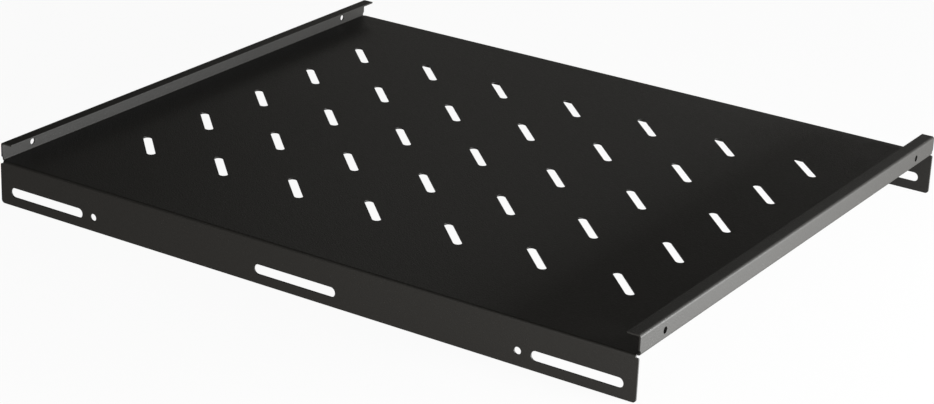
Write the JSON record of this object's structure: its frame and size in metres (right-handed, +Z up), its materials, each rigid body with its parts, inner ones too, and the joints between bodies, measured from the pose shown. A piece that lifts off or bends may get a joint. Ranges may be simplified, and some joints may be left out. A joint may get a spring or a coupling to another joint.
{
  "type": "rack shelf",
  "caption": "Folded sheet steel shelf for a server rack, with slotted hanging flanges that bolt to the posts, lipped side channels and slanted slots all over its plate.",
  "frame": {"origin": "centre of the rectangle that the shelf stands on, level with the lower edges of the two hanging flanges", "axes": "+X along the hanging flanges, which is the rack's depth; +Y across the shelf from one hanging flange to the other; +Z up"},
  "size_m": [0.5, 0.425, 0.0437],
  "materials": {
    "powder_coat": "fine textured satin black powder coat on sheet steel"
  },
  "bodies": {
    "root": {"shelf_sheet": "powder_coat"}
  },
  "joints": []
}
